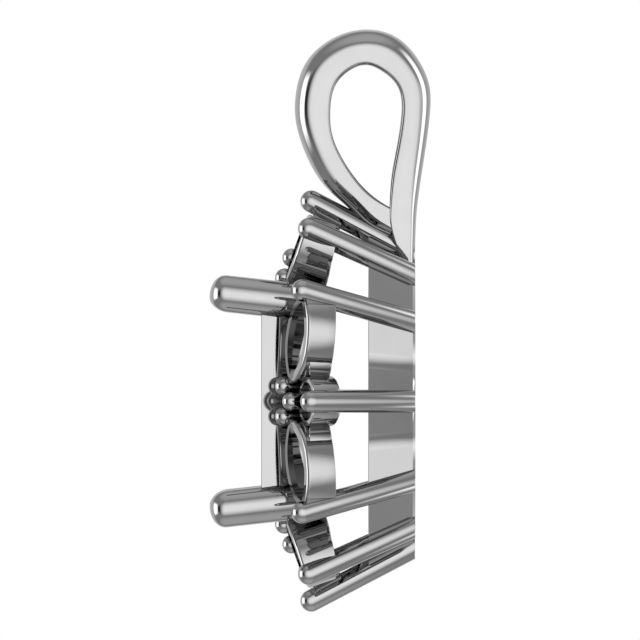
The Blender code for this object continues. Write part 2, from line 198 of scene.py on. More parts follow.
def domed_wire(name: str, radius: float, length: float, sides: int) -> Piece:
    """Makes a round wire along Z with a round end.

    Args:
        name: Name of the new object.
        radius: Radius of the wire and of its end, whose rim is at the origin.
        length: Length of the straight part, below the origin.
        sides: Sides of the wire.

    Returns:
        A closed solid.
    """
    clear_selection()
    bpy.ops.mesh.primitive_uv_sphere_add(segments=sides, ring_count=sides // 2, radius=radius)
    item = bpy.context.object
    item.name = name
    bpy.ops.object.mode_set(mode="EDIT")
    bpy.ops.mesh.select_all(action="DESELECT")
    shape = bmesh.from_edit_mesh(item.data)
    for vert in shape.verts:
        vert.select = vert.co.z < -BELOW_RIM
    shape.select_flush(True)
    bpy.ops.mesh.delete(type="VERT")
    bpy.ops.mesh.select_all(action="DESELECT")
    shape = bmesh.from_edit_mesh(item.data)
    for edge in shape.edges:
        edge.select = len(edge.link_faces) == 1
    bmesh.update_edit_mesh(item.data)
    bpy.ops.mesh.edge_face_add()
    bpy.ops.mesh.extrude_region_move(TRANSFORM_OT_translate={"value": (0.0, 0.0, -length)})
    point_outwards(item)
    return item


def cut_flush(item: Piece) -> None:
    """Cuts a piece flush with the pendant's flat back and closes the cut.

    Args:
        item: The piece.
    """
    activate(item)
    bpy.ops.object.mode_set(mode="EDIT")
    bpy.ops.mesh.select_all(action="SELECT")
    bpy.ops.mesh.bisect(plane_co=(0.0, BACK_FROM_HANG, 0.0), plane_no=(0.0, 1.0, 0.0),
                        clear_outer=True, use_fill=True, threshold=SAME_POINT)
    bpy.ops.object.mode_set(mode="OBJECT")


def place(item: Piece, matrix: Matrix) -> Piece:
    """Moves an object by a matrix and applies its place to its mesh.

    Args:
        item: The object.
        matrix: Where it goes, mirrored or not.

    Returns:
        The same object.
    """
    bpy.context.view_layer.update()
    item.matrix_world = matrix @ item.matrix_world
    activate(item)
    bpy.ops.object.transform_apply(location=True, rotation=True, scale=True)
    if matrix.determinant() < 0:
        point_outwards(item)
    return item


def copy_of(item: Piece, name: str, matrix: Matrix) -> Piece:
    """Copies an object together with its mesh and moves the copy by a matrix.

    Args:
        item: The object.
        name: Name of the copy.
        matrix: Where the copy goes, mirrored or not.

    Returns:
        The copy, linked to the scene.
    """
    twin = item.copy()
    twin.data = item.data.copy()
    twin.name = name
    bpy.context.scene.collection.objects.link(twin)
    return place(twin, matrix)


def soften(item: Piece, bevel: Bevel, angle: float = 30.0) -> None:
    """Rounds the sharp edges of a piece.

    Args:
        item: The piece.
        bevel: The rounding.
        angle: Edges sharper than this, in degrees, are rounded.
    """
    activate(item)
    rounding = item.modifiers.new("polished_edges", "BEVEL")
    rounding.width, rounding.segments = bevel.value
    rounding.limit_method = "ANGLE"
    rounding.angle_limit = math.radians(angle)
    rounding.use_clamp_overlap = True
    bpy.ops.object.modifier_apply(modifier=rounding.name)


def cut_or_join(item: Piece, other: Piece, operation: str) -> None:
    """Applies a Boolean of item with other, and removes other.

    Args:
        item: The piece that changes.
        other: The piece that cuts it or joins it.
        operation: UNION or DIFFERENCE.
    """
    activate(item)
    step = item.modifiers.new("join", "BOOLEAN")
    step.operation = operation
    step.solver = "EXACT"
    step.object = other
    bpy.ops.object.modifier_apply(modifier=step.name)
    bpy.data.objects.remove(other, do_unlink=True)


def shade(item: Piece, angle: float) -> None:
    """Smooths a piece and lets its larger faces lead the shading.

    Args:
        item: The piece.
        angle: Edges sharper than this, in degrees, stay crisp.
    """
    activate(item)
    bpy.ops.object.shade_smooth_by_angle(angle=math.radians(angle), keep_sharp_edges=False)
    weights = item.modifiers.new("flat_faces_lead", "WEIGHTED_NORMAL")
    weights.mode = "FACE_AREA"
    weights.weight = 80
    weights.keep_sharp = True
    bpy.ops.object.modifier_apply(modifier=weights.name)


def aimed(start: Vector, direction: Vector) -> Matrix:
    """Returns the matrix that takes Z to a direction and the origin to a point."""
    return Matrix.Translation(start) @ direction.to_track_quat("Z", "Y").to_matrix().to_4x4()


# Finishes

class NodeSheet:
    """Adds nodes to a tree and links them with short calls."""

    def __init__(self, tree: bpy.types.NodeTree) -> None:
        """Keeps the tree that the nodes go to."""
        self.tree = tree

    def add(self, kind: str, **values: object) -> bpy.types.Node:
        """Adds a node.

        Args:
            kind: Its type.
            **values: Its properties.

        Returns:
            The node.
        """
        node = self.tree.nodes.new(kind)
        for name, value in values.items():
            setattr(node, name, value)
        return node

    def link(self, source: object, target: object) -> None:
        """Links a socket to an input, or sets the input to a number.

        Args:
            source: An output socket or a number.
            target: The input socket.
        """
        if isinstance(source, (int, float)):
            target.default_value = source
        else:
            self.tree.links.new(source, target)

    def math(self, operation: str, first: object, second: object = 0.0) -> object:
        """Adds a Math node.

        Args:
            operation: Name of the operation.
            first: A socket or a number.
            second: A socket or a number.

        Returns:
            The output socket.
        """
        node = self.add("ShaderNodeMath", operation=operation)
        self.link(first, node.inputs[0])
        self.link(second, node.inputs[1])
        return node.outputs[0]

    def ramp(self, factor: object, stops: tuple[tuple[float, float], ...]) -> object:
        """Adds a grey ramp.

        Args:
            factor: The socket that drives it.
            stops: Pairs of place, from 0 to 1, and grey value.

        Returns:
            The colour output socket.
        """
        node = self.add("ShaderNodeValToRGB")
        node.color_ramp.interpolation = "LINEAR"
        elements = node.color_ramp.elements
        for number, (position, grey) in enumerate(stops):
            if number < 2:
                element = elements[number]
                element.position = position
            else:
                element = elements.new(position)
            element.color = (grey, grey, grey, 1.0)
        self.link(factor, node.inputs[0])
        return node.outputs[0]

    def smooth_step(self, value: object, low: float, high: float) -> object:
        """Adds a smooth rise from 0 to 1.

        Args:
            value: The socket that drives it.
            low: Where the rise starts.
            high: Where it ends.

        Returns:
            The output socket.
        """
        node = self.add("ShaderNodeMapRange", interpolation_type="SMOOTHSTEP", clamp=True)
        self.link(value, node.inputs["Value"])
        node.inputs["From Min"].default_value = low
        node.inputs["From Max"].default_value = high
        return node.outputs["Result"]

    def mix(self, factor: object, first: object, second: object) -> object:
        """Adds a blend of two values.

        Args:
            factor: A socket or a number, 0 for the first value and 1 for the second.
            first: A socket or a number.
            second: A socket or a number.

        Returns:
            The output socket.
        """
        node = self.add("ShaderNodeMix", data_type="FLOAT")
        self.link(factor, node.inputs[0])
        self.link(first, node.inputs[2])
        self.link(second, node.inputs[3])
        return node.outputs[0]


@dataclass(frozen=True)
class BuffingMarks:
    """How the faint haze and the fine lines of a polished surface are spread."""

    haze_from: float = 0.35
    haze_to: float = 0.75
    haze_loss: float = 0.03
    haze_detail: float = 4.0
    line_detail: float = 2.0
    line_stretch: tuple[float, float, float] = (1.0, 0.12, 1.0)
    lines_per_grain: float = 12.0

    def group(self) -> bpy.types.NodeTree:
        """Builds the shader group.

        Returns:
            A group with the inputs Grain Size, Base Roughness, Haze and Line Depth, and the
            outputs Roughness, Tint and Height.
        """
        tree = bpy.data.node_groups.new("buffed_surface", "ShaderNodeTree")
        for way, names in (("INPUT", ("Grain Size", "Base Roughness", "Haze", "Line Depth")),
                           ("OUTPUT", ("Roughness", "Tint", "Height"))):
            for name in names:
                tree.interface.new_socket(name, in_out=way, socket_type="NodeSocketFloat")
        sheet = NodeSheet(tree)
        entry, leave = sheet.add("NodeGroupInput"), sheet.add("NodeGroupOutput")
        place_node = sheet.add("ShaderNodeTexCoord")
        haze = sheet.add("ShaderNodeTexNoise")
        haze.inputs["Detail"].default_value = self.haze_detail
        sheet.link(place_node.outputs["Object"], haze.inputs["Vector"])
        sheet.link(entry.outputs["Grain Size"], haze.inputs["Scale"])
        spread = sheet.smooth_step(haze.outputs["Fac"], self.haze_from, self.haze_to)
        extra = sheet.math("MULTIPLY", spread, entry.outputs["Haze"])
        roughness = sheet.math("ADD", extra, entry.outputs["Base Roughness"])
        sheet.link(roughness, leave.inputs["Roughness"])
        loss = sheet.math("MULTIPLY", spread, self.haze_loss)
        sheet.link(sheet.math("SUBTRACT", 1.0, loss), leave.inputs["Tint"])
        stretch = sheet.add("ShaderNodeMapping")
        stretch.inputs["Scale"].default_value = self.line_stretch
        sheet.link(place_node.outputs["Object"], stretch.inputs["Vector"])
        lines = sheet.add("ShaderNodeTexNoise")
        lines.inputs["Detail"].default_value = self.line_detail
        sheet.link(stretch.outputs["Vector"], lines.inputs["Vector"])
        scale = sheet.math("MULTIPLY", entry.outputs["Grain Size"], self.lines_per_grain)
        sheet.link(scale, lines.inputs["Scale"])
        height = sheet.math("MULTIPLY", lines.outputs["Fac"], entry.outputs["Line Depth"])
        sheet.link(height, leave.inputs["Height"])
        return tree


@dataclass(frozen=True)
class WhiteMetal:
    """Rhodium-bright white gold with a mirror polish."""

    colour: tuple[float, float, float] = (0.86, 0.86, 0.865)
    roughness: float = 0.03
    haze: float = 0.02
    line_depth: float = 0.15
    grain_size: float = 900.0
    bump_strength: float = 0.02
    bump_distance: float = 2e-5

    def material(self, group: bpy.types.NodeTree) -> bpy.types.Material:
        """Builds the material.

        Args:
            group: The shared group of buffing marks.

        Returns:
            The finished material.
        """
        metal = bpy.data.materials.new("white_metal_mirror")
        metal.use_nodes = True
        sheet = NodeSheet(metal.node_tree)
        shader = metal.node_tree.nodes["Principled BSDF"]
        shader.inputs["Metallic"].default_value = 1.0
        marks = sheet.add("ShaderNodeGroup", node_tree=group)
        marks.inputs["Grain Size"].default_value = self.grain_size
        marks.inputs["Base Roughness"].default_value = self.roughness
        marks.inputs["Haze"].default_value = self.haze
        marks.inputs["Line Depth"].default_value = self.line_depth
        tint = sheet.add("ShaderNodeMix", data_type="RGBA", blend_type="MULTIPLY")
        tint.inputs[0].default_value = 1.0
        tint.inputs[6].default_value = (*self.colour, 1.0)
        sheet.link(marks.outputs["Tint"], tint.inputs[7])
        sheet.link(tint.outputs[2], shader.inputs["Base Color"])
        sheet.link(marks.outputs["Roughness"], shader.inputs["Roughness"])
        bump = sheet.add("ShaderNodeBump")
        bump.inputs["Strength"].default_value = self.bump_strength
        bump.inputs["Distance"].default_value = self.bump_distance
        sheet.link(marks.outputs["Height"], bump.inputs["Height"])
        sheet.link(bump.outputs["Normal"], shader.inputs["Normal"])
        return metal


@dataclass
class Jeweller:
    """Gives finished pieces their metal and hangs them on the part."""

    metal: bpy.types.Material

    def set(self, item: Piece, angle: float = 32.0) -> None:
        """Shades and dresses a piece, lets it ride on the part and reports it.

        Args:
            item: The finished piece.
            angle: Edges sharper than this, in degrees, stay crisp.
        """
        shade(item, angle)
        item.data.materials.clear()
        item.data.materials.append(self.metal)
        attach(item, BODY)
        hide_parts(NODE)
        LOG.info("%s: %d faces", item.name, len(item.data.polygons))


@dataclass
class SubAssembly:
    """A group of pieces, handed to the jeweller one by one as they are finished."""

    jeweller: Jeweller


# Outer wires

@dataclass
class OuterProngs(SubAssembly):
    """Round wires on one cone that carry the back rail and the seats."""

    radius: float = 0.369 * MM
    back_circle: float = 4.853 * MM
    lean: float = WIRE_LEAN
    side_angle: float = math.radians(32.7)
    end_angle: float = math.radians(58.9)
    cardinal_depth: float = 3.457 * MM
    side_depth: float = 3.75 * MM
    end_depth: float = 3.533 * MM
    blank_length: float = 5.0 * MM
    sides: int = 48

    def circle_at(self, depth: float) -> float:
        """Returns the radius of the wires' circle at a depth."""
        return self.back_circle + depth * math.tan(self.lean)

    def rows(self) -> list[tuple[float, float]]:
        """Lists the wires.

        Returns:
            The azimuth and the depth of the tip's centre of each wire.
        """
        rows = [(turn, self.cardinal_depth) for turn in SIDE_TURNS]
        for angle, depth in ((self.side_angle, self.side_depth), (self.end_angle, self.end_depth)):
            rows += [(math.atan2(math.sin(angle) * up, math.cos(angle) * across), depth)
                     for across, up in QUADRANTS]
        return rows

    def build(self) -> None:
        """Models one wire and sets a copy at each place."""
        model = domed_wire("outer_prong", self.radius, self.blank_length, self.sides)
        for number, (azimuth, depth) in enumerate(self.rows(), 1):
            out = Vector((math.cos(azimuth), math.sin(azimuth), 0.0))
            axis = out * math.sin(self.lean) + Vector((0, 0, math.cos(self.lean)))
            tip = out * self.circle_at(depth) + Vector((0, 0, depth))
            wire = copy_of(model, f"outer_prong_{number:02d}", PLAN_TO_WORLD @ aimed(tip, axis))
            cut_flush(wire)
            soften(wire, Bevel.CRISP, CUT_EDGES)
            self.jeweller.set(wire)
        bpy.data.objects.remove(model, do_unlink=True)


# Back rail

@dataclass
class BackRail(SubAssembly):
    """Faceted band at the back, with a point under each middle wire."""

    prongs: OuterProngs
    depth: float = 1.55 * MM
    wall: float = 0.45 * MM
    point_half_back: float = 1.217 * MM
    point_half_front: float = 1.333 * MM
    fillet: float = 1.0 * MM
    fillet_steps: int = 14
    chamfer_deep: float = 0.085 * MM
    chamfer_in: float = 0.094 * MM
    corner_limit: float = 0.5

    def rounded(self, before: Vector, corner: Vector, after: Vector) -> list[Vector]:
        """Returns the arc that rounds a corner of the outline.

        Args:
            before: The point before the corner.
            corner: The corner.
            after: The point after the corner.

        Returns:
            The points of the arc.
        """
        to_before, to_after = (before - corner).normalized(), (after - corner).normalized()
        bisector = (to_before + to_after).normalized()
        half = math.acos(to_before.dot(to_after)) / 2
        middle = corner + bisector * (self.fillet / math.sin(half))
        sweep = math.pi / 2 - half
        across = (to_before - bisector * to_before.dot(bisector)).normalized()
        angles = [sweep * (1 - 2 * k / self.fillet_steps) for k in range(self.fillet_steps + 1)]
        return [middle + (across * math.sin(a) - bisector * math.cos(a)) * self.fillet
                for a in angles]

    def outline(self, depth: float) -> list[Vector]:
        """Draws the outer plan outline at a depth.

        Args:
            depth: Depth forward from the back.

        Returns:
            Its points, in order round it.
        """
        radius = self.prongs.circle_at(depth)
        widening = (self.point_half_front - self.point_half_back) * depth / self.depth
        half = self.point_half_back + widening
        flat_out = radius * math.cos(self.prongs.side_angle)
        flat_up = radius * math.sin(self.prongs.end_angle)
        side_corner = Vector((flat_out, radius * math.sin(self.prongs.side_angle)))
        end_corner = Vector((radius * math.cos(self.prongs.end_angle), flat_up))
        tip_out, tip_up = Vector((radius, 0.0)), Vector((0.0, radius))
        quarter = self.rounded(tip_out, Vector((flat_out, half)), side_corner)
        quarter += [side_corner, end_corner]
        quarter += self.rounded(end_corner, Vector((half, flat_up)), tip_up)
        outline = []
        for number, (across, up) in enumerate(QUADRANTS):
            part = [Vector((p.x * across, p.y * up)) for p in quarter]
            tip = (tip_out, tip_up, -tip_out, -tip_up)[number]
            outline += [tip] + (part if number % 2 == 0 else part[::-1])
        return outline

    def inset(self, outline: list[Vector], by: float) -> list[Vector]:
        """Moves an outline inwards.

        Args:
            outline: Its points, in order round it.
            by: How far each of its edges moves.

        Returns:
            The points of the moved outline.
        """
        moved = []
        count = len(outline)
        for i, point in enumerate(outline):
            along = (point - outline[i - 1]).normalized()
            onward = (outline[(i + 1) % count] - point).normalized()
            inward = Vector((-along.y - onward.y, along.x + onward.x)).normalized()
            lean = max(self.corner_limit, inward.dot(Vector((-along.y, along.x))))
            moved.append(point + inward * (by / lean))
        return moved

    def build(self) -> None:
        """Models the band as one wall loop."""
        back, front = self.outline(0.0), self.outline(self.depth)
        chamfered = self.outline(self.chamfer_deep)
        loops = [[p.to_3d() for p in self.inset(back, self.chamfer_in)],
                 [p.to_3d() + Vector((0, 0, self.chamfer_deep)) for p in chamfered],
                 [p.to_3d() + Vector((0, 0, self.depth)) for p in front],
                 [p.to_3d() + Vector((0, 0, self.depth)) for p in self.inset(front, self.wall)],
                 [p.to_3d() for p in self.inset(back, self.wall)]]
        rail = wall_loop("back_rail", loops)
        place(rail, PLAN_TO_WORLD)
        soften(rail, Bevel.CRISP, CUT_EDGES)
        self.jeweller.set(rail, FACET_EDGES)


# Centre head

@dataclass
class CentreHead(SubAssembly):
    """Square ring for the centre stone, with a round prong in each corner."""

    front_depth: float = 5.117 * MM
    back_depth: float = 2.85 * MM
    front_half: float = 3.667 * MM
    taper: float = 0.195
    wall: float = 0.42 * MM
    corner_cut: float = 0.55 * MM
    inner_cut_share: float = 0.8
    prong_radius: float = 0.617 * MM
    prong_dome: float = 0.58 * MM
    prong_tip_depth: float = 6.833 * MM
    prong_offset: float = 3.57 * MM
    prong_slope: float = 0.11
    prong_back_depth: float = 2.95 * MM
    prong_lead: float = 0.17 * MM
    prong_sides: int = 64
    prong_dome_steps: int = 16

    def square(self, depth: float, inset: float) -> list[Vector]:
        """Draws the ring's outline.

        Args:
            depth: Depth forward from the back.
            inset: How far it is moved inwards.

        Returns:
            Its points, in order round it.
        """
        half = self.front_half - self.taper * (self.front_depth - depth) - inset
        cut = self.corner_cut * (1.0 if inset == 0 else self.inner_cut_share)
        points = []
        for number, (across, up) in enumerate(QUADRANTS):
            pair = [Vector((half * across, (half - cut) * up, depth)),
                    Vector(((half - cut) * across, half * up, depth))]
            points += pair if number % 2 == 0 else pair[::-1]
        return points

    def prong(self) -> Piece:
        """Models the prong of one corner, whose rounded end leads a little inwards.

        Returns:
            A closed solid in plan coordinates.
        """
        shoulder = self.prong_tip_depth - self.prong_dome
        rows = [(self.prong_back_depth, 1.0, 0.0)]
        for k in range(self.prong_dome_steps):
            angle = math.pi / 2 * k / self.prong_dome_steps
            rows.append((shoulder + self.prong_dome * math.sin(angle), math.cos(angle),
                         self.prong_lead * (1 - math.cos(angle))))
        rings = []
        for depth, share, lead in rows:
            middle = self.prong_offset + self.prong_slope * (depth - shoulder) - lead
            radius = self.prong_radius * share
            turns = [math.tau * k / self.prong_sides for k in range(self.prong_sides)]
            rings.append([Vector((middle + radius * math.cos(a),
                                  middle + radius * math.sin(a), depth)) for a in turns])
        return loft("main_prong", rings)

    def build(self) -> None:
        """Models the ring and its four prongs."""
        loops = [self.square(self.back_depth, 0.0), self.square(self.front_depth, 0.0),
                 self.square(self.front_depth, self.wall), self.square(self.back_depth, self.wall)]
        ring = wall_loop("head_ring", loops)
        place(ring, PLAN_TO_WORLD)
        soften(ring, Bevel.SOFT)
        self.jeweller.set(ring, FACET_EDGES)

        model = self.prong()
        soften(model, Bevel.SOFT, CUT_EDGES)
        for number, (across, up) in enumerate(QUADRANTS, 1):
            corner = PLAN_TO_WORLD @ Matrix.Diagonal((across, up, 1.0, 1.0))
            self.jeweller.set(copy_of(model, f"main_prong_{number}", corner))
        bpy.data.objects.remove(model, do_unlink=True)


# Seats

@dataclass
class SideSeats(SubAssembly):
    """The seats of one side: two pointed ovals, a round one with its lobes, and their bar."""

    oval_out: float = 5.1 * MM
    oval_along: float = 2.083 * MM
    oval_depth: float = 3.967 * MM
    fall_out: float = 0.335
    fall_along: float = 0.045
    oval_turn: float = math.radians(19.0)
    oval_half_length: float = 1.58 * MM
    oval_half_width: float = 1.1 * MM
    bore_half_length: float = 1.28 * MM
    bore_half_width: float = 0.77 * MM
    arc_steps: int = 28
    cone_depth: float = 2.98 * MM
    cone_radius: float = 4.6 * MM
    cone_fall: float = 0.19
    rim_roll: float = 0.13 * MM
    rim_steps: int = 6
    round_out: float = 5.5 * MM
    round_depth: float = 3.62 * MM
    round_back_depth: float = 2.76 * MM
    round_back_fall: float = 0.38
    round_radius: float = 0.82 * MM
    round_bore: float = 0.64 * MM
    round_lean: float = math.tan(WIRE_LEAN)
    lobe_out: float = 5.27 * MM
    lobe_along: float = 1.35 * MM
    lobe_radius: float = 0.6 * MM
    lobe_depth: float = 3.53 * MM
    bar_from: float = 3.0 * MM
    bar_to: float = 4.65 * MM
    bar_half: float = 0.5 * MM
    bar_back: float = 2.95 * MM
    bar_front: float = 3.5 * MM
    bore_over: float = 0.6 * MM
    lobe_sides: int = 48
    tube_sides: int = 64
    slide_rounds: int = 4

    def back_at(self, radius: float) -> float:
        """Returns the depth of the seats' common back at a distance from the axis."""
        return self.cone_depth - self.cone_fall * (radius - self.cone_radius)

    def lens(self, half_length: float, half_width: float) -> list[tuple[float, float]]:
        """Returns a pointed oval of two arcs.

        Args:
            half_length: Half its length.
            half_width: Half its width.

        Returns:
            Points as (along, out) about its middle.
        """
        arc = (half_length ** 2 + half_width ** 2) / (2 * half_width)
        sweep = math.asin(half_length / arc)
        points = []
        for side in (1, -1):
            for k in range(self.arc_steps):
                angle = -sweep + 2 * sweep * k / self.arc_steps
                points.append((side * arc * math.sin(angle),
                               side * (arc * math.cos(angle) - arc + half_width)))
        return points

    def slid_back(self, start: Vector, slope: Vector, extra: float) -> Vector:
        """Returns where a wall line meets the common back.

        Args:
            start: The line's front end in plan.
            slope: How far it moves in plan for each unit of depth.
            extra: How far past the back it goes.

        Returns:
            The line's back end.
        """
        reach = start.z - self.back_at(start.xy.length)
        for _ in range(self.slide_rounds):
            flat = start.xy - slope.xy * reach
            reach = start.z - self.back_at(flat.length) + extra
        return Vector((start.x - slope.x * reach, start.y - slope.y * reach, start.z - reach))

    def oval_ring(self, half_length: float, half_width: float, raised: float) -> list[Vector]:
        """Draws a pointed oval, raised along the seat's slope from the plane of its rim.

        Args:
            half_length: Half its length.
            half_width: Half its width.
            raised: How far it is raised.

        Returns:
            Its points, in order round it.
        """
        cos_turn, sin_turn = math.cos(self.oval_turn), math.sin(self.oval_turn)
        ring = []
        for s, n in self.lens(half_length, half_width):
            out = self.oval_out + s * sin_turn + n * cos_turn
            along = self.oval_along + s * cos_turn - n * sin_turn
            depth = (self.oval_depth - self.fall_out * (out - self.oval_out)
                     - self.fall_along * (along - self.oval_along))
            ring.append(Vector((out + self.fall_out * raised, along + self.fall_along * raised,
                                depth + raised)))
        return ring

    def oval_seat(self) -> Piece:
        """Models a pointed oval seat whose outer rim is rolled over.

        Returns:
            A closed solid in plan coordinates.
        """
        slope = Vector((self.fall_out, self.fall_along, 0.0))
        arc = (self.oval_half_length ** 2 + self.oval_half_width ** 2) / (2 * self.oval_half_width)
        rim = self.oval_ring(self.oval_half_length, self.oval_half_width, 0.0)
        rings = [[self.slid_back(p, slope, 0.0) for p in rim]]
        for k in range(self.rim_steps + 1):
            angle = math.pi / 2 * k / self.rim_steps
            inset = self.rim_roll * (1 - math.cos(angle))
            length = math.sqrt((arc - inset) ** 2 - (arc - self.oval_half_width) ** 2)
            rings.append(self.oval_ring(length, self.oval_half_width - inset,
                                        self.rim_roll * (math.sin(angle) - 1)))
        return loft("side_seats", rings)

    def oval_bore(self) -> Piece:
        """Models the bore of an oval seat, longer than the seat at both ends.

        Returns:
            A closed solid in plan coordinates.
        """
        slope = Vector((self.fall_out, self.fall_along, 0.0))
        rim = self.oval_ring(self.bore_half_length, self.bore_half_width, 0.0)
        front = self.oval_ring(self.bore_half_length, self.bore_half_width, self.bore_over)
        return loft("oval_bore", [[self.slid_back(p, slope, self.bore_over) for p in rim], front])

    def lobe(self) -> Piece:
        """Models the round lobe beside the round seat.

        Returns:
            A closed solid in plan coordinates.
        """
        slope = Vector((self.fall_out, 0.0, 0.0))
        front, back = [], []
        for k in range(self.lobe_sides):
            angle = math.tau * k / self.lobe_sides
            start = Vector((self.lobe_out + self.lobe_radius * math.cos(angle),
                            self.lobe_along + self.lobe_radius * math.sin(angle), self.lobe_depth))
            front.append(start)
            back.append(self.slid_back(start, slope, 0.0))
        return loft("seat_lobe", [back, front])

    def tube(self, name: str, radius: float, over: float) -> Piece:
        """Models the round seat's solid or its bore, which leans like the wires.

        Args:
            name: Name of the new object.
            radius: Radius of the tube.
            over: How far it reaches past both ends of the seat.

        Returns:
            A closed solid.
        """
        reach = self.round_depth - self.round_back_depth
        front, back = [], []
        for k in range(self.tube_sides):
            angle = math.tau * k / self.tube_sides
            out, along = radius * math.cos(angle), radius * math.sin(angle)
            front.append(Vector((self.round_out + out + self.round_lean * over, along,
                                 self.round_depth - self.fall_out * out + over)))
            back.append(Vector((self.round_out + out - self.round_lean * (reach + over), along,
                                self.round_back_depth - self.round_back_fall * out - over)))
        return loft(name, [back, front])

    def bar(self) -> Piece:
        """Models the bar that joins the head to the seats.

        Returns:
            A closed solid in plan coordinates.
        """
        clear_selection()
        middle = ((self.bar_from + self.bar_to) / 2, 0.0, (self.bar_back + self.bar_front) / 2)
        bpy.ops.mesh.primitive_cube_add(size=1.0, location=middle)
        item = bpy.context.object
        item.name = "seat_bar"
        item.scale = (self.bar_to - self.bar_from, 2 * self.bar_half,
                      self.bar_front - self.bar_back)
        return place(item, Matrix.Identity(4))

    def build(self) -> None:
        """Models one side and sets a turned copy on each side."""
        flip = Matrix.Scale(-1, 4, (0, 1, 0))
        seat = self.oval_seat()
        soften(seat, Bevel.SOFT, RIM_EDGES)
        other = copy_of(seat, "other_oval", flip)
        lobe = self.lobe()
        soften(lobe, Bevel.ROUND, RIM_EDGES)
        other_lobe = copy_of(lobe, "other_lobe", flip)
        tube = self.tube("round_seat", self.round_radius, 0.0)
        soften(tube, Bevel.ROUND, RIM_EDGES)
        for piece in (other, lobe, other_lobe, tube, self.bar()):
            cut_or_join(seat, piece, "UNION")
        bore = self.oval_bore()
        other_bore = copy_of(bore, "other_bore", flip)
        for piece in (bore, other_bore, self.tube("round_bore", self.round_bore, self.bore_over)):
            cut_or_join(seat, piece, "DIFFERENCE")
        for number, turn in enumerate(SIDE_TURNS, 1):
            turned = PLAN_TO_WORLD @ Matrix.Rotation(turn, 4, "Z")
            self.jeweller.set(copy_of(seat, f"side_seats_{number}", turned), FACET_EDGES)
        bpy.data.objects.remove(seat, do_unlink=True)


@dataclass
class Beads(SubAssembly):
    """Three round-ended beads inside each round seat."""

    radius: float = 0.312 * MM
    lean: float = 0.335
    pin_length: float = 1.15 * MM
    pair_out: float = 4.11 * MM
    pair_along: float = 0.5 * MM
    pair_depth: float = 4.357 * MM
    outer_out: float = 4.777 * MM
    outer_depth: float = 4.113 * MM
    sides: int = 48

    def build(self) -> None:
        """Models one bead and sets a copy at each place."""
        model = domed_wire("bead", self.radius, self.pin_length, self.sides)
        rows = (Vector((self.pair_out, -self.pair_along, self.pair_depth)),
                Vector((self.pair_out, self.pair_along, self.pair_depth)),
                Vector((self.outer_out, 0.0, self.outer_depth)))
        axis = Vector((self.lean, 0.0, 1.0))
        for side, turn in enumerate(SIDE_TURNS, 1):
            for number, centre in enumerate(rows, 1):
                spot = PLAN_TO_WORLD @ Matrix.Rotation(turn, 4, "Z") @ aimed(centre, axis)
                self.jeweller.set(copy_of(model, f"bead_{side}_{number}", spot))
        bpy.data.objects.remove(model, do_unlink=True)


# Bail

@dataclass(frozen=True)
class StrapSection:
    """One section of the bail's strap, in millimetres.

    Its edges are (back, up) from the hang point. Half is half its width, dome the height of its
    crown, and rim the rounding of its inner edges.
    """

    inner: tuple[float, float]
    outer: tuple[float, float]
    half: float
    dome: float
    rim: float


